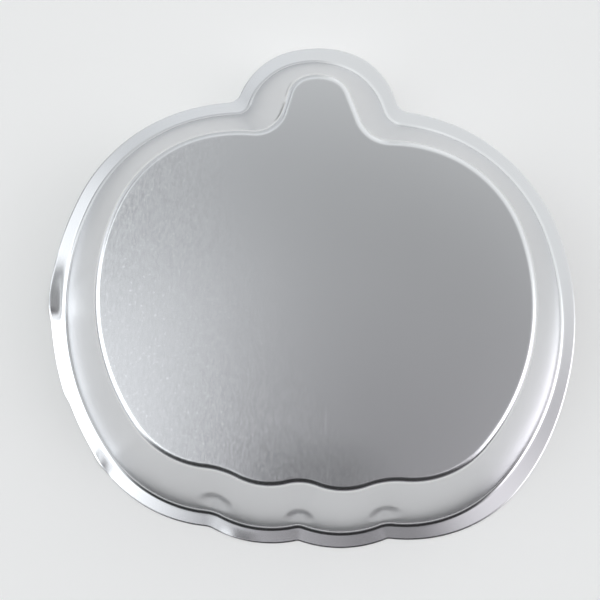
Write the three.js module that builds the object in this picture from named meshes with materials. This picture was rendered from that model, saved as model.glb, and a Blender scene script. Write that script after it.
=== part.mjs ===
// Pumpkin cake pan: one aluminium sheet pressed into a flat-based shell with drafted walls and a flange.
// It stands face down on its flange: +Z points up to the base and +Y to the pumpkin's stem.
// The origin is under the middle of the outline, on the plane it stands on.
// Sizes are in millimetres and degrees.
import * as THREE from 'three';

// Sheet and section
const OVERALL_WIDTH = 311;
const DEPTH = 50;
const SHEET_THICKNESS = 0.8;
const FLANGE_WIDTH = 8.9;
const WALL_RUN = 24.5;
const BASE_BEND_RADIUS = 4.2;
const FLANGE_BEND_RADIUS = 3.2;

// Pumpkin body, with radii on the corner line between base and wall
const SIDE_RADIUS = 123.6;
const SHOULDER_RADIUS = 72.6;
const CROWN_RADIUS = 84.6;
const BOTTOM_RADIUS = 53;
const SHOULDER_ANGLE = 21.6;
const CROWN_ANGLE = 72.5;
const BOTTOM_ANGLE = 38.6;

// Centre lobes, a little to one side, and the grooves beside them, which tighten towards the cut edge
const LOBE_SPACING = 39.7;
const LOBE_RADIUS = 39.1;
const LOBE_DROP = 7.3;
const LOBE_SHIFT = -2.5;
const CENTRE_GROOVE_AT_BASE = 27.6;
const CENTRE_GROOVE_AT_EDGE = 4;
const SIDE_GROOVE_AT_BASE = 49.2;
const SIDE_GROOVE_AT_EDGE_RIGHT = 6;
const SIDE_GROOVE_AT_EDGE_LEFT = 14;

// Stem, which stands a little to one side, and the notches at its foot
const STEM_RISE = 36.5;
const STEM_TOP_RADIUS = 24;
const STEM_CORNER_RADIUS = 14.3;
const STEM_CORNER_ANGLE = 20;
const STEM_SHIFT = -4.1;
const STEM_FLARE_RIGHT = 23.6;
const STEM_FLARE_LEFT = 13.7;
const NOTCH_AT_BASE_RIGHT = 18.8;
const NOTCH_AT_BASE_LEFT = 16.8;
const NOTCH_AT_EDGE_RIGHT = 9.5;
const NOTCH_AT_EDGE_LEFT = 7.5;

// Sideways lean of the drawn outline, for each millimetre towards the stem
const OUTLINE_LEAN = -0.015;

// Facets along each stretch of the outline and round each bend of the section
const GROOVE_STEPS = 4;
const LOBE_STEPS = 8;
const BODY_STEPS = 11;
const NOTCH_STEPS = 8;
const STEM_STEPS = 7;
const BASE_BEND_STEPS = 4;
const FLANGE_BEND_STEPS = 3;

const RIGHT = 1;
const LEFT = -1;

const { degToRad } = THREE.MathUtils;
const edgeOutset = WALL_RUN + FLANGE_WIDTH;

function fromPolar(angle, length) {
  return new THREE.Vector2(Math.cos(angle) * length, Math.sin(angle) * length);
}

function bearing(from, to) {
  return Math.atan2(to.y - from.y, to.x - from.x);
}

// Centre of a circle that lies at two given distances from two centres, on the left of the way between them
function meetLeft(centreA, distanceA, centreB, distanceB) {
  const between = centreB.clone().sub(centreA);
  const span = between.length();
  const forward = (distanceA ** 2 - distanceB ** 2 + span ** 2) / (2 * span);
  const sideways = Math.sqrt(distanceA ** 2 - forward ** 2);
  const along = between.divideScalar(span);
  const across = new THREE.Vector2(-along.y, along.x);
  return centreA.clone().addScaledVector(along, forward).addScaledVector(across, sideways);
}

// Radius of a hollow that changes evenly from the base's corner line to the cut edge
function hollowRadius(atBase, atEdge, outset) {
  return THREE.MathUtils.lerp(atBase, atEdge, outset / edgeOutset);
}

// Centres of the body's arcs for one half, drawn at +X, where neighbouring arcs share their tangents
function bodyCentres(half) {
  const baseHalfWidth = OVERALL_WIDTH / 2 - edgeOutset;
  const side = new THREE.Vector2(baseHalfWidth - SIDE_RADIUS, 0);
  const shoulder = fromPolar(degToRad(SHOULDER_ANGLE), SIDE_RADIUS - SHOULDER_RADIUS).add(side);
  const crown = fromPolar(degToRad(CROWN_ANGLE), SHOULDER_RADIUS - CROWN_RADIUS).add(shoulder);
  const bottom = fromPolar(degToRad(-BOTTOM_ANGLE), SIDE_RADIUS - BOTTOM_RADIUS).add(side);
  const lobeHeight = bottom.y - BOTTOM_RADIUS - LOBE_DROP + LOBE_RADIUS;
  const lobe = new THREE.Vector2(LOBE_SPACING / 2 + half * LOBE_SHIFT, lobeHeight);
  return { side, shoulder, crown, bottom, lobe };
}

// The groove between the two lobes and the one beside a lobe, each with its centre and radius
function grooves(body, half, outset) {
  const sideAtEdge = half === RIGHT ? SIDE_GROOVE_AT_EDGE_RIGHT : SIDE_GROOVE_AT_EDGE_LEFT;
  const centreRadius = hollowRadius(CENTRE_GROOVE_AT_BASE, CENTRE_GROOVE_AT_EDGE, outset);
  const sideRadius = hollowRadius(SIDE_GROOVE_AT_BASE, sideAtEdge, outset);
  const lobeRadius = LOBE_RADIUS + outset;
  const reach = lobeRadius + centreRadius;
  const belowLobe = Math.sqrt(reach ** 2 - (LOBE_SPACING / 2) ** 2);
  const centre = new THREE.Vector2(half * LOBE_SHIFT, body.lobe.y - belowLobe);
  const bottomReach = BOTTOM_RADIUS + outset + sideRadius;
  const side = meetLeft(body.bottom, bottomReach, body.lobe, lobeRadius + sideRadius);
  return { centre, centreRadius, side, sideRadius };
}

// Centres of the stem's top arc and of the rounded corner on one side of it
function stemCentres(body, half) {
  const topHeight = body.shoulder.y + SHOULDER_RADIUS + STEM_RISE;
  const top = new THREE.Vector2(half * STEM_SHIFT, topHeight - STEM_TOP_RADIUS);
  const cornerBearing = degToRad(90 - STEM_CORNER_ANGLE);
  const corner = fromPolar(cornerBearing, STEM_TOP_RADIUS - STEM_CORNER_RADIUS).add(top);
  return { top, corner, cornerBearing };
}

// The rounded notch at the stem's foot, with the straight flank above it where one is left
function notchAndFlank(body, stem, half, outset) {
  const onRight = half === RIGHT;
  const flare = degToRad(onRight ? STEM_FLARE_RIGHT : STEM_FLARE_LEFT);
  const outward = fromPolar(flare, 1);
  const downFlank = new THREE.Vector2(outward.y, -outward.x);
  const radiusAtBase = onRight ? NOTCH_AT_BASE_RIGHT : NOTCH_AT_BASE_LEFT;
  const radiusAtEdge = onRight ? NOTCH_AT_EDGE_RIGHT : NOTCH_AT_EDGE_LEFT;
  const radius = hollowRadius(radiusAtBase, radiusAtEdge, outset);
  const cornerRadius = STEM_CORNER_RADIUS + outset;
  const reach = CROWN_RADIUS + outset + radius;
  const offFlank = stem.corner.clone().sub(body.crown).dot(outward) + cornerRadius + radius;
  const upFlank = Math.sqrt(reach ** 2 - offFlank ** 2);
  let centre = body.crown.clone();
  centre.addScaledVector(outward, offFlank).addScaledVector(downFlank, -upFlank);
  let leave = flare;
  const straight = centre.clone().sub(stem.corner).dot(downFlank);
  if (straight <= 0) {
    centre = meetLeft(stem.corner, cornerRadius + radius, body.crown, reach);
    leave = bearing(stem.corner, centre);
  }
  const path = new THREE.Path();
  path.absarc(centre.x, centre.y, radius, bearing(centre, body.crown), leave - Math.PI, true);
  if (straight > 0) {
    const flankTop = fromPolar(flare, cornerRadius).add(stem.corner);
    path.lineTo(flankTop.x, flankTop.y);
  }
  return { centre, leave, points: path.getSpacedPoints(NOTCH_STEPS) };
}

// Half of the outline, from centre groove to stem top, a given distance outside the base's corner line
function halfOutline(half, outset) {
  const body = bodyCentres(half);
  const groove = grooves(body, half, outset);
  const stem = stemCentres(body, half);
  const notch = notchAndFlank(body, stem, half, outset);
  const quarterTurn = Math.PI / 2;
  const shoulderStart = degToRad(SHOULDER_ANGLE);
  const crownStart = degToRad(CROWN_ANGLE);
  const crownEnd = bearing(body.crown, notch.centre);
  const bottomEnd = degToRad(-BOTTOM_ANGLE);
  const convex = (centre, radius, start, end, steps) =>
    new THREE.ArcCurve(centre.x, centre.y, radius + outset, start, end, false).getPoints(steps);
  const concave = (centre, radius, start, end, steps) =>
    new THREE.ArcCurve(centre.x, centre.y, radius, start, end, true).getPoints(steps);
  const lobeStart = bearing(body.lobe, groove.centre);
  const lobeEnd = bearing(body.lobe, groove.side);
  const bottomStart = bearing(body.bottom, groove.side);
  const stretches = [
    concave(groove.centre, groove.centreRadius, quarterTurn, lobeStart + Math.PI, GROOVE_STEPS),
    convex(body.lobe, LOBE_RADIUS, lobeStart, lobeEnd, LOBE_STEPS),
    concave(groove.side, groove.sideRadius, lobeEnd + Math.PI, bottomStart - Math.PI, GROOVE_STEPS),
    convex(body.bottom, BOTTOM_RADIUS, bottomStart, bottomEnd, BODY_STEPS),
    convex(body.side, SIDE_RADIUS, bottomEnd, shoulderStart, BODY_STEPS),
    convex(body.shoulder, SHOULDER_RADIUS, shoulderStart, crownStart, BODY_STEPS),
    convex(body.crown, CROWN_RADIUS, crownStart, crownEnd, GROOVE_STEPS),
    notch.points,
    convex(stem.corner, STEM_CORNER_RADIUS, notch.leave, stem.cornerBearing, STEM_STEPS),
    convex(stem.top, STEM_TOP_RADIUS, stem.cornerBearing, quarterTurn, GROOVE_STEPS),
  ];
  const points = stretches.flatMap((stretch) => stretch.slice(0, -1));
  points.push(stretches.at(-1).at(-1));
  return points.map((point) => new THREE.Vector2(half * point.x, point.y));
}

// The closed outline, counter-clockwise seen from above, leaning as it was drawn
function outline(outset) {
  const right = halfOutline(RIGHT, outset);
  const left = halfOutline(LEFT, outset).slice(1, -1).reverse();
  return [...right, ...left].map((point) => point.setX(point.x + OUTLINE_LEAN * point.y));
}

// Section of the sheet as outset and height: from the flat base to the cut edge, and back along the inside
function section() {
  const wallAngle = Math.atan2(DEPTH - SHEET_THICKNESS, WALL_RUN);
  const cornerToCentre = Math.tan(wallAngle / 2);
  const baseBend = new THREE.Vector2(-BASE_BEND_RADIUS * cornerToCentre, DEPTH - BASE_BEND_RADIUS);
  const flangeBendOutset = WALL_RUN + FLANGE_BEND_RADIUS * cornerToCentre;
  const flangeBend = new THREE.Vector2(flangeBendOutset, SHEET_THICKNESS + FLANGE_BEND_RADIUS);
  const upright = Math.PI / 2;
  const bend = (centre, radius, start, end, steps) =>
    new THREE.ArcCurve(centre.x, centre.y, radius, start, end, end < start).getPoints(steps);
  const wallFacing = upright - wallAngle;
  const underWall = wallFacing + Math.PI;
  const underFlange = upright + Math.PI;
  const flangeUnderRadius = FLANGE_BEND_RADIUS + SHEET_THICKNESS;
  const baseInnerRadius = BASE_BEND_RADIUS - SHEET_THICKNESS;
  return [
    ...bend(baseBend, BASE_BEND_RADIUS, upright, wallFacing, BASE_BEND_STEPS),
    ...bend(flangeBend, FLANGE_BEND_RADIUS, underWall, underFlange, FLANGE_BEND_STEPS),
    new THREE.Vector2(edgeOutset, SHEET_THICKNESS),
    new THREE.Vector2(edgeOutset, 0),
    ...bend(flangeBend, flangeUnderRadius, underFlange, underWall, FLANGE_BEND_STEPS),
    ...bend(baseBend, baseInnerRadius, wallFacing, upright, BASE_BEND_STEPS),
  ];
}

// Lofts the outline along the section into one closed skin, with a flat face on both sides of the base
function pressedShell() {
  const rings = section().map(({ x: outset, y: height }) => ({ points: outline(outset), height }));
  const around = rings[0].points.length;
  const positions = rings.flatMap(({ points, height }) => points.flatMap(({ x, y }) => [x, y, height]));
  const triangles = [];
  for (let ring = 0; ring < rings.length - 1; ring += 1) {
    for (let step = 0; step < around; step += 1) {
      const next = (step + 1) % around;
      const [inner, outer] = [ring * around, (ring + 1) * around];
      triangles.push(inner + step, outer + step, outer + next);
      triangles.push(inner + step, outer + next, inner + next);
    }
  }
  const lastRing = (rings.length - 1) * around;
  for (const [a, b, c] of THREE.ShapeUtils.triangulateShape(rings[0].points, [])) {
    triangles.push(a, b, c);
  }
  for (const [a, b, c] of THREE.ShapeUtils.triangulateShape(rings.at(-1).points, [])) {
    triangles.push(lastRing + a, lastRing + c, lastRing + b);
  }
  const geometry = new THREE.BufferGeometry();
  geometry.setAttribute('position', new THREE.Float32BufferAttribute(positions, 3));
  geometry.setIndex(triangles);
  geometry.computeBoundingBox();
  const middle = geometry.boundingBox.getCenter(new THREE.Vector3());
  return geometry.translate(-middle.x, -middle.y, 0);
}

const satinAluminium = new THREE.MeshStandardMaterial({ color: 0xb9babd, roughness: 0.38, metalness: 1 });
const panShell = new THREE.Mesh(pressedShell(), satinAluminium);
panShell.name = 'pan_shell';

const pumpkinPan = new THREE.Group();
pumpkinPan.add(panShell);

export default pumpkinPan;
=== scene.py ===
"""Looks of the pumpkin cake pan: one pressed aluminium sheet, face down on a pale table."""
import math

import bmesh
import bpy
from mathutils import Matrix, Vector
from mathutils.kdtree import KDTree


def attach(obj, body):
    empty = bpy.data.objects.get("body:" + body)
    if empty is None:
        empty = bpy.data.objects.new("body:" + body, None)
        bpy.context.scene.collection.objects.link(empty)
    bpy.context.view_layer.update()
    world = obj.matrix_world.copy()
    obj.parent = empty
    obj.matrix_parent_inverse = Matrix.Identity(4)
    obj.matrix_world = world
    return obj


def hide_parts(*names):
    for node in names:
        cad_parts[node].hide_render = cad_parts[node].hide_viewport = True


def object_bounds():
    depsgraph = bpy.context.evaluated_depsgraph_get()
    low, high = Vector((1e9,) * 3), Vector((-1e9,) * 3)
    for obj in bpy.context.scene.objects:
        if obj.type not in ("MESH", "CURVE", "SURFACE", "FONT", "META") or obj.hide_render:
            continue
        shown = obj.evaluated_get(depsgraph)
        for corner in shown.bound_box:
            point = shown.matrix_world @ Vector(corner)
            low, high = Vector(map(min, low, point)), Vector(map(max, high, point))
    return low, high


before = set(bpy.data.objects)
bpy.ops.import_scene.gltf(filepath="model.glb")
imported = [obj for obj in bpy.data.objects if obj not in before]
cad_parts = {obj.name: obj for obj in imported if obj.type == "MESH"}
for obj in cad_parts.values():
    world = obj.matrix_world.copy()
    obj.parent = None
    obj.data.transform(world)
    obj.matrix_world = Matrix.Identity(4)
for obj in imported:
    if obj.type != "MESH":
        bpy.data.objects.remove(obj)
cad_low, cad_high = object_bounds()

# Sheet and section, in metres
SHEET = 0.0008
DEPTH = cad_high.z - cad_low.z
FLANGE_WIDTH = 0.0089
FLANGE_DROOP = 0.0008
WALL_RUN = 0.0245
BASE_BEND = 0.0042
FLANGE_BEND = 0.0032
CUT_EDGE_ROUND = 0.00010
CUT_EDGE_SEGMENTS = 2
CUT_EDGE_ANGLE = math.radians(50)
LEVEL_TOLERANCE = 0.00001

# Pumpkin outline: radii on the corner line between base and wall
HALF_WIDTH = (cad_high.x - cad_low.x) / 2
SIDE_RADIUS = 0.1236
SHOULDER_RADIUS = 0.0726
CROWN_RADIUS = 0.0846
BOTTOM_RADIUS = 0.0530
SHOULDER_ANGLE = math.radians(21.6)
CROWN_ANGLE = math.radians(72.5)
BOTTOM_ANGLE = math.radians(38.6)
LOBE_SPACING = 0.0397
LOBE_RADIUS = 0.0391
LOBE_DROP = 0.0073
LOBE_SHIFT = {"right": -0.0025, "left": 0.0025}
OUTLINE_LEAN = -0.015

# Hollows of the outline: radii on the base's corner line and on the cut edge
CENTRE_GROOVE = (0.0276, 0.0040)
SIDE_GROOVE = {"right": (0.0492, 0.0060), "left": (0.0492, 0.0140)}
NOTCH = {"right": (0.0188, 0.0095), "left": (0.0168, 0.0075)}

# Stem
STEM_RISE = 0.0365
STEM_TOP_RADIUS = 0.0240
STEM_CORNER_RADIUS = 0.0143
STEM_CORNER_ANGLE = math.radians(20)
STEM_SHIFT = -0.0041
STEM_FLARE = {"right": math.radians(23.6), "left": math.radians(13.7)}

# Steps along each stroke of the outline and across the section
GROOVE_STEPS = 12
LOBE_STEPS = 34
BOTTOM_STEPS = 56
SIDE_STEPS = 100
SHOULDER_STEPS = 48
CROWN_STEPS = 14
NOTCH_STEPS = 40
CORNER_STEPS = 30
TOP_STEPS = 10
BEND_SEGMENTS = 10
WALL_CUTS = 17
FLANGE_CUTS = 6
BASE_INSETS = (0.0008, 0.003)

# Wear of the flange by bearing round the pan in degrees (start, worst, end): metres wider and bent up
FLANGE_WEAR = {
    "wide_left": {"bearings": (158, 177, 194), "wider": 0.0009, "raised": 0},
    "left_dent": {"bearings": (171.2, 183.2, 187.4), "wider": 0.0008, "raised": 0.0014},
    "narrow_lower_left": {"bearings": (202.4, 205.5, 240), "wider": -0.0012, "raised": 0},
    "lower_left_kink": {"bearings": (215.0, 219.8, 223.4), "wider": 0.0003, "raised": 0.0007},
    "lobe_ripple": {"bearings": (250.4, 254.6, 261.5), "wider": 0, "raised": 0.0004},
    "wide_right_foot": {"bearings": (290, 323, 350), "wider": 0.0019, "raised": 0},
    "narrow_upper_right": {"bearings": (8, 37, 66), "wider": -0.0010, "raised": 0},
    "wide_beside_stem": {"bearings": (70, 83, 97), "wider": 0.0017, "raised": 0},
    "narrow_upper_left": {"bearings": (100, 120, 160), "wider": -0.0011, "raised": 0},
}
FLANGE_ROOT = 0.0020
FLANGE_HINGE = 0.20

# Marks pressed into the wall: both ends, reach to the sides, depth, and how much painted shade darkens the
# crease's colour
PRESS_MARKS = {
    "centre_dimple": {
        "ends": ((-0.0008, -0.1325, 0.0125), (-0.0008, -0.1325, 0.0125)),
        "reach": 0.0112, "depth": 0.0017, "painted_shade": 0,
    },
    "right_dimple": {
        "ends": ((0.0472, -0.1280, 0.0145), (0.0472, -0.1280, 0.0145)),
        "reach": 0.0120, "depth": 0.0019, "painted_shade": 0,
    },
    "left_dimple": {
        "ends": ((-0.0488, -0.1275, 0.0150), (-0.0488, -0.1275, 0.0150)),
        "reach": 0.0130, "depth": 0.0021, "painted_shade": 0,
    },
    "upper_crease": {
        "ends": ((-0.0222, 0.1117, 0.0453), (-0.0251, 0.1033, 0.0467)),
        "reach": 0.0018, "depth": 0.0002, "painted_shade": 0.3,
    },
    "lower_crease": {
        "ends": ((-0.0252, 0.0983, 0.0478), (-0.0297, 0.0884, 0.0464)),
        "reach": 0.0020, "depth": 0.0003, "painted_shade": 0.6,
    },
}
MARK_GRID = 0.0005
MARK_GRID_SHARE = 0.1
MARK_ROUNDS = 3
SHORTEST_MARK = 0.000001
# Mesh attribute that holds the painted shade darkening the creases' colour
PAINTED_CREASE_SHADE_LAYER = "painted_crease_shade"

EDGE_OUTSET = WALL_RUN + FLANGE_WIDTH
QUARTER_TURN = math.pi / 2
UP = Vector((0, 0, 1))


def polar(angle, length):
    return Vector((math.cos(angle), math.sin(angle))) * length


def bearing(start, end):
    return math.atan2(end.y - start.y, end.x - start.x)


def meet_left(first, first_distance, second, second_distance):
    """The point at two given distances from two others, on the left of the way between them."""
    between = second - first
    span = between.length
    forward = (first_distance ** 2 - second_distance ** 2 + span ** 2) / (2 * span)
    sideways = math.sqrt(first_distance ** 2 - forward ** 2)
    along = between / span
    return first + along * forward + Vector((-along.y, along.x)) * sideways


def hollow_radius(radii, outset):
    """Radius of a hollow that changes evenly from the base's corner line to the cut edge."""
    at_base, at_edge = radii
    return at_base + (at_edge - at_base) * outset / EDGE_OUTSET


def body_centres(half):
    """Centres of the pumpkin body's arcs for one half, drawn on the right."""
    side = Vector((HALF_WIDTH - EDGE_OUTSET - SIDE_RADIUS, 0))
    shoulder = side + polar(SHOULDER_ANGLE, SIDE_RADIUS - SHOULDER_RADIUS)
    crown = shoulder + polar(CROWN_ANGLE, SHOULDER_RADIUS - CROWN_RADIUS)
    bottom = side + polar(-BOTTOM_ANGLE, SIDE_RADIUS - BOTTOM_RADIUS)
    lobe_height = bottom.y - BOTTOM_RADIUS - LOBE_DROP + LOBE_RADIUS
    lobe = Vector((LOBE_SPACING / 2 + LOBE_SHIFT[half], lobe_height))
    return side, shoulder, crown, bottom, lobe


def centre_groove(lobe, half, outset):
    """Centre and radius of the groove between the two lobes."""
    radius = hollow_radius(CENTRE_GROOVE, outset)
    reach = LOBE_RADIUS + outset + radius
    below_lobe = math.sqrt(reach ** 2 - (LOBE_SPACING / 2) ** 2)
    return Vector((LOBE_SHIFT[half], lobe.y - below_lobe)), radius


def side_groove(bottom, lobe, half, outset):
    """Centre of the groove between a lobe and the bottom of the body."""
    radius = hollow_radius(SIDE_GROOVE[half], outset) + outset
    return meet_left(bottom, BOTTOM_RADIUS + radius, lobe, LOBE_RADIUS + radius)


def arc(centre, start, end, steps, way=1):
    """A stroke that turns about a centre: left with way 1, right with way -1."""
    turn = way * ((way * (end - start)) % math.tau)
    return {"centre": centre, "turn": turn, "shift": Vector((0, 0)), "steps": steps}


def notch_strokes(crown, corner, half, outset):
    """The round notch at the stem's foot and the straight flank above it, where one is left."""
    flare = STEM_FLARE[half]
    outward = polar(flare, 1)
    down_flank = Vector((outward.y, -outward.x))
    radius = hollow_radius(NOTCH[half], outset)
    corner_radius = STEM_CORNER_RADIUS + outset
    reach = CROWN_RADIUS + outset + radius
    off_flank = (corner - crown).dot(outward) + corner_radius + radius
    up_flank = math.sqrt(reach ** 2 - off_flank ** 2)
    centre = crown + outward * off_flank - down_flank * up_flank
    leave = flare
    flank = (centre - corner).dot(down_flank)
    if flank <= 0:
        centre = meet_left(corner, corner_radius + radius, crown, reach)
        leave = bearing(corner, centre)
        flank = 0
    notch = arc(centre, bearing(centre, crown), leave - math.pi, NOTCH_STEPS, way=-1)
    notch_length = radius * abs(notch["turn"])
    flank_steps = round(NOTCH_STEPS * flank / (notch_length + flank))
    strokes = [notch]
    if flank_steps:
        notch["steps"] = NOTCH_STEPS - flank_steps
        step = -down_flank * flank / flank_steps
        strokes.append({"centre": centre, "turn": 0, "shift": step, "steps": flank_steps})
    return strokes, bearing(crown, centre), leave


def half_strokes(half, outset):
    """Strokes from the middle of the centre groove to the middle of the stem's top."""
    side, shoulder, crown, bottom, lobe = body_centres(half)
    shift = STEM_SHIFT if half == "right" else -STEM_SHIFT
    stem_top = Vector((shift, shoulder.y + SHOULDER_RADIUS + STEM_RISE - STEM_TOP_RADIUS))
    corner_bearing = QUARTER_TURN - STEM_CORNER_ANGLE
    corner = stem_top + polar(corner_bearing, STEM_TOP_RADIUS - STEM_CORNER_RADIUS)
    notch, crown_end, leave = notch_strokes(crown, corner, half, outset)
    groove = centre_groove(lobe, half, outset)[0]
    next_groove = side_groove(bottom, lobe, half, outset)
    lobe_start = bearing(lobe, groove)
    lobe_end = bearing(lobe, next_groove)
    bottom_start = bearing(bottom, next_groove)
    return [
        arc(groove, QUARTER_TURN, lobe_start + math.pi, GROOVE_STEPS, way=-1),
        arc(lobe, lobe_start, lobe_end, LOBE_STEPS),
        arc(next_groove, lobe_end + math.pi, bottom_start + math.pi, GROOVE_STEPS, way=-1),
        arc(bottom, bottom_start, -BOTTOM_ANGLE, BOTTOM_STEPS),
        arc(side, -BOTTOM_ANGLE, SHOULDER_ANGLE, SIDE_STEPS),
        arc(shoulder, SHOULDER_ANGLE, CROWN_ANGLE, SHOULDER_STEPS),
        arc(crown, CROWN_ANGLE, crown_end, CROWN_STEPS),
        *notch,
        arc(corner, leave, corner_bearing, CORNER_STEPS),
        arc(stem_top, corner_bearing, QUARTER_TURN, TOP_STEPS),
    ]


def other_way(stroke):
    """A stroke of the left half, mirrored and run from the stem back to the groove."""
    centre = Vector((-stroke["centre"].x, stroke["centre"].y))
    shift = Vector((stroke["shift"].x, -stroke["shift"].y))
    return {**stroke, "centre": centre, "shift": shift}


def draw_ring(bm, outset, height):
    """One closed ring of the outline, spun stroke by stroke from the centre groove."""
    known = set(bm.edges)
    groove, groove_radius = centre_groove(body_centres("right")[-1], "right", outset)
    first = bm.verts.new((groove.x, groove.y + groove_radius, height))
    left = [other_way(stroke) for stroke in reversed(half_strokes("left", outset))]
    tip = first
    for stroke in half_strokes("right", outset) + left:
        spun = bmesh.ops.spin(
            bm, geom=[tip], cent=(*stroke["centre"], height), axis=UP, dvec=(*stroke["shift"], 0),
            angle=stroke["turn"], steps=stroke["steps"],
        )
        tip = spun["geom_last"][0]
    bmesh.ops.weld_verts(bm, targetmap={tip: first})
    return [edge for edge in bm.edges if edge not in known]


def round_bend(bm, ring, radius):
    """Rounds a corner of the section to a bend of the given radius."""
    wall_angle = math.atan2(DEPTH - SHEET - FLANGE_DROOP, WALL_RUN)
    bmesh.ops.bevel(
        bm, geom=ring, offset=radius * math.tan(wall_angle / 2), offset_type="OFFSET",
        affect="EDGES", segments=BEND_SEGMENTS, profile=0.5, material=-1,
    )


def swell(value, start, worst, end):
    """Grows smoothly from 0 at the start to 1 at the worst place, and falls to 0 at the end."""
    share = (value - start) / (worst - start) if value < worst else (end - value) / (end - worst)
    share = min(max(share, 0), 1)
    return share * share * (3 - 2 * share)


def wear_flange(bm, mouth_line, middle):
    """Makes the flange wider or narrower and bends its outer part up, place by place."""
    nearest = KDTree(len(mouth_line))
    outwards = []
    for index, (start, end) in enumerate(mouth_line):
        halfway = (start + end).to_2d() / 2
        outward = (end - start).to_2d().orthogonal().normalized()
        if outward.dot(halfway - middle) < 0:
            outward.negate()
        outwards.append(outward)
        nearest.insert(halfway.to_3d(), index)
    nearest.balance()
    for vert in bm.verts:
        if vert.co.z > SHEET + FLANGE_DROOP + LEVEL_TOLERANCE:
            continue
        flat = vert.co.to_2d()
        halfway, index, _ = nearest.find(flat.to_3d())
        outward = outwards[index]
        across = (outward.dot(flat - halfway.to_2d()) - FLANGE_ROOT) / (FLANGE_WIDTH - FLANGE_ROOT)
        across = min(max(across, 0), 1)
        past_hinge = max(across - FLANGE_HINGE, 0) / (1 - FLANGE_HINGE)
        angle = math.degrees(bearing(middle, flat)) % 360
        for wear in FLANGE_WEAR.values():
            share = swell(angle, *wear["bearings"])
            vert.co += outward.to_3d() * wear["wider"] * across * share
            vert.co.z += wear["raised"] * past_hinge * share


def press_mark(bm, ends, reach, depth, painted_shade):
    """Presses a smooth dimple, or a crease that fades towards both ends, into the sheet, and stores the
    painted shade that darkens its colour.
    """
    start, end = (Vector(point) for point in ends)
    way = end - start
    length = max(way.length, SHORTEST_MARK)
    grid = max(MARK_GRID, reach * MARK_GRID_SHARE)
    middle = (start + end) / 2

    def strength(point):
        along = (point - start).dot(way) / length ** 2
        along = min(max(along, 0), 1)
        away = (point - start - way * along).length
        fade = (point - middle).length / (length / 2 + reach)
        return max(1 - (away / reach) ** 2, 0) ** 2 * max(1 - fade ** 2, 0)

    for _ in range(MARK_ROUNDS):
        coarse = [edge for edge in bm.edges if edge.calc_length() > grid]
        close = [edge for edge in coarse if strength((edge.verts[0].co + edge.verts[1].co) / 2) > 0]
        bmesh.ops.subdivide_edges(bm, edges=close, cuts=1, use_grid_fill=True)
    bm.normal_update()
    # Painted shade: each crease darkens the colour along its line
    painted_crease_shade = bm.verts.layers.float[PAINTED_CREASE_SHADE_LAYER]
    marked = [(vert, strength(vert.co)) for vert in bm.verts]
    for vert, share in marked:
        vert[painted_crease_shade] = max(vert[painted_crease_shade], painted_shade * share)
        vert.co -= vert.normal * depth * share


def pressed_skin():
    """The outer side of the sheet: base, wall and flange with their bends, in the CAD frame."""
    bm = bmesh.new()
    base_ring = draw_ring(bm, 0, DEPTH)
    mouth_ring = draw_ring(bm, WALL_RUN, SHEET + FLANGE_DROOP)
    edge_ring = draw_ring(bm, EDGE_OUTSET, SHEET)
    mouth_line = [[vert.co.copy() for vert in edge.verts] for edge in mouth_ring]
    wall = bmesh.ops.bridge_loops(bm, edges=base_ring + mouth_ring)
    bmesh.ops.bridge_loops(bm, edges=mouth_ring + edge_ring)
    bmesh.ops.edgeloop_fill(bm, edges=base_ring)
    bmesh.ops.subdivide_edges(bm, edges=wall["edges"], cuts=WALL_CUTS, use_grid_fill=True)
    round_bend(bm, base_ring, BASE_BEND)
    round_bend(bm, mouth_ring, FLANGE_BEND)
    base = max(bm.faces, key=lambda face: face.calc_area())
    for width in BASE_INSETS:
        bmesh.ops.inset_region(bm, faces=[base], thickness=width, use_even_offset=True)
    flange_edges = [
        edge for edge in bm.edges
        if edge.calc_length() > FLANGE_WIDTH / 2 and max(vert.co.z for vert in edge.verts) < 2 * SHEET
    ]
    bmesh.ops.subdivide_edges(bm, edges=flange_edges, cuts=FLANGE_CUTS, use_grid_fill=True)
    lean = Matrix.Identity(4)
    lean[0][1] = OUTLINE_LEAN
    bmesh.ops.transform(bm, matrix=lean, verts=bm.verts)
    xs, ys, _ = zip(*(vert.co for vert in bm.verts))
    outline_middle = Vector((min(xs) + max(xs), min(ys) + max(ys))) / 2
    to_cad = (cad_low + cad_high).to_2d() / 2 - outline_middle
    bmesh.ops.translate(bm, vec=to_cad.to_3d(), verts=bm.verts)
    bmesh.ops.recalc_face_normals(bm, faces=bm.faces)
    mouth_line = [[lean @ point + to_cad.to_3d() for point in ends] for ends in mouth_line]
    wear_flange(bm, mouth_line, to_cad)
    bm.verts.layers.float.new(PAINTED_CREASE_SHADE_LAYER)
    for mark in PRESS_MARKS.values():
        press_mark(bm, **mark)
    return bm


class Level:
    """A shader socket that takes Python's operators, each of which adds a Math node."""

    def __init__(self, finish, socket):
        self.finish = finish
        self.socket = socket

    def __add__(self, other):
        return self.finish.math("ADD", self, other)

    def __sub__(self, other):
        return self.finish.math("SUBTRACT", self, other)

    def __rsub__(self, other):
        return self.finish.math("SUBTRACT", other, self)

    def __mul__(self, other):
        return self.finish.math("MULTIPLY", self, other)

    __radd__ = __add__
    __rmul__ = __mul__


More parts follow.
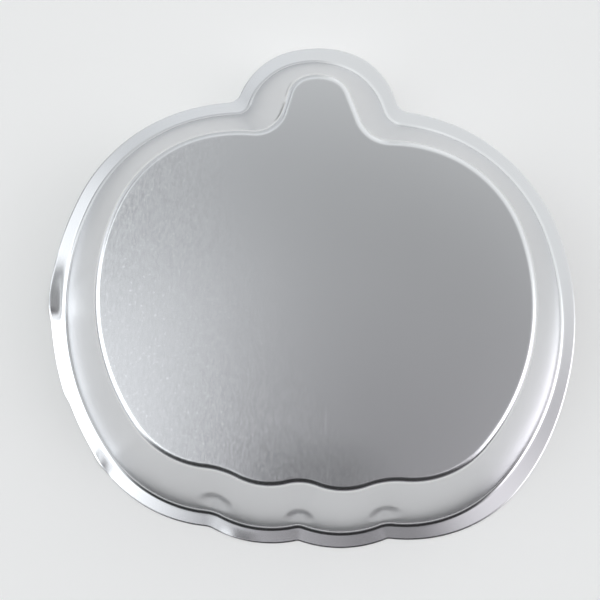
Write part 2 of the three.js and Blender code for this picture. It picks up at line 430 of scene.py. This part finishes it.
class Finish:
    """A node tree that is written as Python expressions."""

    def __init__(self, tree):
        self.tree = tree

    def node(self, kind, settings=None, inputs=None, output=0):
        made = self.tree.nodes.new(kind)
        for name, value in (settings or {}).items():
            setattr(made, name, value)
        for name, value in (inputs or {}).items():
            if isinstance(value, Level):
                self.tree.links.new(value.socket, made.inputs[name])
            else:
                made.inputs[name].default_value = value
        return Level(self, made.outputs[output]) if made.outputs else None

    def math(self, operation, *values):
        return self.node("ShaderNodeMath", {"operation": operation}, dict(enumerate(values)))

    def axes(self, vector):
        """The X, Y and Z of a vector."""
        return [self.node("ShaderNodeSeparateXYZ", {}, {"Vector": vector}, output=axis) for axis in "XYZ"]

    def between(self, value, low, high):
        """0 below low, 1 above high and a smooth step between."""
        return self.node(
            "ShaderNodeMapRange", {"interpolation_type": "SMOOTHSTEP"},
            {"Value": value, "From Min": low, "From Max": high},
        )

    def beyond(self, value, edge, soft):
        """0 below an edge and 1 above it, with a soft step of the given width."""
        return self.between(value, edge - soft / 2, edge + soft / 2)

    def inside(self, value, low, high, soft_low, soft_high):
        """1 from low to high, with soft ends."""
        return self.beyond(value, low, soft_low) * (1 - self.beyond(value, high, soft_high))

    def noise(self, place, scale, detail):
        return self.node("ShaderNodeTexNoise", {}, {"Vector": place, "Scale": scale, "Detail": detail})

    def mix_colour(self, share, first, second):
        return self.node(
            "ShaderNodeMix", {"data_type": "RGBA"}, {"Factor": share, 6: first, 7: second}, output=2
        )


def new_finish(name):
    material = bpy.data.materials.new(name)
    material.use_nodes = True
    material.node_tree.nodes.clear()
    return material, Finish(material.node_tree)


# Where the finish and the painted shade change: fades by height on the pan, and patches at the front of the
# base, in metres
BASE_FADE = (DEPTH - 0.0010, DEPTH - 0.0002)
WALL_TOP_FADE = (DEPTH - 0.0032, DEPTH - 0.0018)
WALL_FOOT_FADE = (0.0026, 0.0042)
SCUFF_FADE = (-0.115, 0.020)
SCUFF_SLANT = 0.5
SCRATCHES = {"back": (-0.085, -0.030), "left": (-0.040, 0.010), "right": (0.050, 0.085)}
# Patch of painted shade at the front of the base: back, left and right edges
FRONT_PAINTED_SHADE = {"back": (-0.110, -0.080), "left": (-0.060, 0.000), "right": (0.015, 0.060)}

# Patterns of the finish: stretch along the sheet, size as waves in a metre, detail and contrast
GRAIN = {"stretch": (1.0, 0.36, 1.0), "scale": 950.0, "detail": 2.0}
SPECK = {"scale": 620.0, "detail": 0.0, "contrast": (0.70, 0.78)}
SCRATCH = {"stretch": (1.0, 0.06, 1.0), "scale": 700.0, "detail": 1.0, "contrast": (0.62, 0.74)}
CLOUD = {"scale": 14.0, "detail": 2.0}
NOISE_MIDDLE = 0.5

# How light and how rough the sheet is, how far each pattern changes that, and how much painted shade
# darkens the wall and a patch at the front of the base
METAL_COLOUR = (0.995, 1.0, 1.012, 1)
BLACK = (0, 0, 0, 1)
BASE_TONE = 0.80
# Painted shade: the wall's colour is darker than the base's, though both are one sheet
WALL_PAINTED_SHADE = 0.060
GRAIN_TONE = 0.18
SPECK_TONE = 0.07
FAINT_SPECK_TONE = 0.02
SCRATCH_TONE = 0.045
CLOUD_TONE = 0.04
# How far the painted shade darkens the patch at the front of the base
FRONT_PAINTED_SHADE_AMOUNT = 0.24
BEND_ROUGHNESS = 0.18
BASE_ROUGHER = 0.06
WALL_ROUGHER = 0.22
GRAIN_ROUGHER = 0.10
GRAIN_BUMP = {"Strength": 0.06, "Distance": 0.0001}


def front_patch(finish, across, toward_stem, patch):
    """1 on a patch at the front of the base, fading at its back, left and right."""
    shown = (1 - finish.between(toward_stem, *patch["back"])) * finish.between(across, *patch["left"])
    return shown * (1 - finish.between(across, *patch["right"]))


def satin_aluminium():
    material, finish = new_finish("satin_aluminium")
    place = finish.node("ShaderNodeTexCoord", output="Object")
    across, toward_stem, height = finish.axes(place)
    on_base = finish.between(height, *BASE_FADE)
    on_wall = (1 - finish.between(height, *WALL_TOP_FADE)) * finish.between(height, *WALL_FOOT_FADE)
    scuffed = on_base * (1 - finish.between(across + toward_stem * SCUFF_SLANT, *SCUFF_FADE))
    scratched = on_base * front_patch(finish, across, toward_stem, SCRATCHES)
    # Painted shade on a patch at the front of the base
    front_shade_mask = on_base * front_patch(finish, across, toward_stem, FRONT_PAINTED_SHADE)
    rolled = finish.node("ShaderNodeMapping", {}, {"Vector": place, "Scale": GRAIN["stretch"]})
    drawn = finish.node("ShaderNodeMapping", {}, {"Vector": place, "Scale": SCRATCH["stretch"]})
    grain = finish.noise(rolled, GRAIN["scale"], GRAIN["detail"]) - NOISE_MIDDLE
    speck = finish.between(finish.noise(place, SPECK["scale"], SPECK["detail"]), *SPECK["contrast"])
    scratch = finish.between(finish.noise(drawn, SCRATCH["scale"], SCRATCH["detail"]), *SCRATCH["contrast"])
    cloud = finish.noise(place, CLOUD["scale"], CLOUD["detail"]) - NOISE_MIDDLE
    # Painted shade in the creases, read from the mesh
    painted_crease_shade = finish.node("ShaderNodeAttribute", {"attribute_name": PAINTED_CREASE_SHADE_LAYER}, output="Fac")
    wear = scuffed * (grain * GRAIN_TONE + speck * SPECK_TONE)
    wear = wear + on_base * speck * FAINT_SPECK_TONE + scratched * scratch * SCRATCH_TONE
    # Painted shade: the wall's colour is darkened below the base's
    tone = BASE_TONE - on_wall * WALL_PAINTED_SHADE + wear + cloud * CLOUD_TONE
    # Painted shade: darker colour in the creases and on the patch at the front of the base
    tone = tone * (1 - painted_crease_shade) * (1 - front_shade_mask * FRONT_PAINTED_SHADE_AMOUNT)
    colour = finish.mix_colour(tone, BLACK, METAL_COLOUR)
    scuffs = scuffed * grain
    roughness = BEND_ROUGHNESS + on_base * BASE_ROUGHER + on_wall * WALL_ROUGHER + scuffs * GRAIN_ROUGHER
    bump = finish.node("ShaderNodeBump", {}, {**GRAIN_BUMP, "Height": scuffs})
    shader = finish.node(
        "ShaderNodeBsdfPrincipled", {},
        {"Base Color": colour, "Metallic": 1.0, "Roughness": roughness, "Normal": bump},
    )
    finish.node("ShaderNodeOutputMaterial", {}, {"Surface": shader})
    return material


def add_object(name, bm, material):
    mesh = bpy.data.meshes.new(name)
    bm.to_mesh(mesh)
    bm.free()
    for polygon in mesh.polygons:
        polygon.use_smooth = True
    mesh.materials.append(material)
    obj = bpy.data.objects.new(name, mesh)
    bpy.context.scene.collection.objects.link(obj)
    return obj


def pressed_pan():
    pan = add_object("pressed_pan", pressed_skin(), satin_aluminium())
    wall = pan.modifiers.new("sheet", "SOLIDIFY")
    wall.thickness = SHEET
    wall.offset = -1
    wall.use_even_offset = True
    edge = pan.modifiers.new("cut_edge", "BEVEL")
    edge.width = CUT_EDGE_ROUND
    edge.segments = CUT_EDGE_SEGMENTS
    edge.use_clamp_overlap = False
    edge.limit_method = "ANGLE"
    edge.angle_limit = CUT_EDGE_ANGLE
    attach(pan, "root")
    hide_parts("pan_shell")


# The pale table
FLOOR_HALF = 20.0
FLOOR_COLOUR = (0.935, 0.928, 0.903, 1)
FLOOR_ROUGHNESS = 0.7


def table_top():
    material, finish = new_finish("pale_table")
    shader = finish.node(
        "ShaderNodeBsdfPrincipled", {}, {"Base Color": FLOOR_COLOUR, "Roughness": FLOOR_ROUGHNESS}
    )
    finish.node("ShaderNodeOutputMaterial", {}, {"Surface": shader})
    bm = bmesh.new()
    bmesh.ops.create_grid(bm, x_segments=1, y_segments=1, size=FLOOR_HALF)
    floor = add_object("table_top", bm, material)


# Light from the tent in degrees: azimuth (middle, half), angle from straight up, soft (sides, top, foot)
TENT_LIGHT = {
    "front_edge": {"azimuth": (232, 64), "from_up": (11.8, 19), "soft": (44, 5, 4), "radiance": 0.455},
    "front_low": {"azimuth": (262, 62), "from_up": (74, 200), "soft": (30, 10, 6), "radiance": 0.30},
    "left_side": {"azimuth": (191, 28), "from_up": (17.4, 67), "soft": (26, 7, 24), "radiance": 2.20},
    "left_top": {"azimuth": (162, 26), "from_up": (20, 36), "soft": (24, 7, 10), "radiance": 1.15},
    "left_low": {"azimuth": (188, 40), "from_up": (67, 95), "soft": (26, 24, 6), "radiance": 0.35},
    "left_foot": {"azimuth": (227, 14), "from_up": (15, 32), "soft": (14, 6, 8), "radiance": 0.72},
    "right_upper": {"azimuth": (0, 22), "from_up": (8.5, 20), "soft": (24, 5, 8), "radiance": 0.15},
    "right_edge": {"azimuth": (-25, 20), "from_up": (13, 25), "soft": (30, 8, 8), "radiance": 1.04},
    "right_side": {"azimuth": (-11, 21), "from_up": (29, 66), "soft": (26, 8, 12), "radiance": 2.15},
    "back_upper": {"azimuth": (70, 65), "from_up": (18.6, 50), "soft": (50, 12, 12), "radiance": 0.84},
    "back_low": {"azimuth": (30, 50), "from_up": (50, 200), "soft": (24, 12, 6), "radiance": 0.95},
    "back_left_low": {"azimuth": (122, 46), "from_up": (50, 200), "soft": (24, 12, 6), "radiance": 0.62},
}
OVERHEAD = {"radiance": 0.085, "from_up": 13.3, "soft": 6.5}
OVERHEAD_BACK = {"radiance": 0.29, "toward_back": (0.3, 9.6)}
OVERHEAD_LEFT = {"radiance": 1.12, "toward_left": (1.7, 8.8), "short_of_back": (9.0, 14.0)}
BEHIND_CAMERA = 0.03
FRONT_TINT = (1.005, 0.985, 1.035, 1)
BACK_TINT = (0.975, 1.0, 1.012, 1)
LEFT_TINT = (0.968, 1.0, 1.032, 1)
BACK_TINT_FADE = (0, 14)
LEFT_TINT_FADE = (0, 10)


def tent():
    """The world: bright cloth at both sides, pale cloth at the back, and the open side at the camera."""
    world = bpy.data.worlds.new("tent")
    world.use_nodes = True
    world.node_tree.nodes.clear()
    finish = Finish(world.node_tree)
    toward = finish.node("ShaderNodeTexCoord", output="Generated")
    x, y, z = finish.axes(toward)
    azimuth = finish.math("ARCTAN2", y, x) * math.degrees(1)
    from_up = finish.math("ARCCOSINE", z) * math.degrees(1)
    toward_back = finish.math("ARCTAN2", y, z) * math.degrees(1)
    toward_left = finish.math("ARCTAN2", 0 - x, z) * math.degrees(1)
    backs = finish.between(toward_back, *OVERHEAD_BACK["toward_back"])
    lefts = finish.between(toward_left, *OVERHEAD_LEFT["toward_left"])
    lefts = lefts * (1 - finish.between(toward_back, *OVERHEAD_LEFT["short_of_back"]))
    overhead = backs * OVERHEAD_BACK["radiance"] + lefts * OVERHEAD_LEFT["radiance"]
    cap = 1 - finish.beyond(from_up, OVERHEAD["from_up"], OVERHEAD["soft"])
    glow = cap * (overhead + OVERHEAD["radiance"]) + BEHIND_CAMERA
    for light in TENT_LIGHT.values():
        middle, half = light["azimuth"]
        soft_round, soft_top, soft_foot = light["soft"]
        aside = finish.math("WRAP", azimuth - middle, 180, -180)
        shape = finish.inside(from_up, *light["from_up"], soft_top, soft_foot)
        shape = shape * finish.inside(aside, -half, half, soft_round, soft_round)
        glow = shape * light["radiance"] + glow
    tint = finish.mix_colour(finish.between(toward_back, *BACK_TINT_FADE), FRONT_TINT, BACK_TINT)
    tint = finish.mix_colour(finish.between(toward_left, *LEFT_TINT_FADE), tint, LEFT_TINT)
    shader = finish.node("ShaderNodeBackground", {}, {"Color": tint, "Strength": glow})
    finish.node("ShaderNodeOutputWorld", {}, {"Surface": shader})
    bpy.context.scene.world = world


# The camera: where it looks, and how it stands over the table
CAMERA_TARGET = Vector((-0.00875, -0.00658, 0))
CAMERA_AWAY = 0.700
CAMERA_TILT = math.radians(8.53)
CAMERA_SWING = math.radians(-1.46)
CAMERA_TWIST = math.radians(5.37)
CAMERA_LENS = 70.6
CAMERA_SENSOR = 36.0
CAMERA_CLIP = (0.01, 20.0)


def camera():
    data = bpy.data.cameras.new("camera")
    data.lens = CAMERA_LENS
    data.sensor_width = CAMERA_SENSOR
    data.clip_start, data.clip_end = CAMERA_CLIP
    obj = bpy.data.objects.new("camera", data)
    turn = (
        Matrix.Rotation(CAMERA_SWING, 4, "Z")
        @ Matrix.Rotation(CAMERA_TILT, 4, "X")
        @ Matrix.Rotation(CAMERA_TWIST, 4, "Z")
    )
    obj.matrix_world = Matrix.Translation(CAMERA_TARGET) @ turn @ Matrix.Translation((0, 0, CAMERA_AWAY))
    bpy.context.scene.collection.objects.link(obj)
    bpy.context.scene.camera = obj


pressed_pan()
table_top()
tent()
camera()
bpy.context.scene.view_settings.view_transform = "Standard"
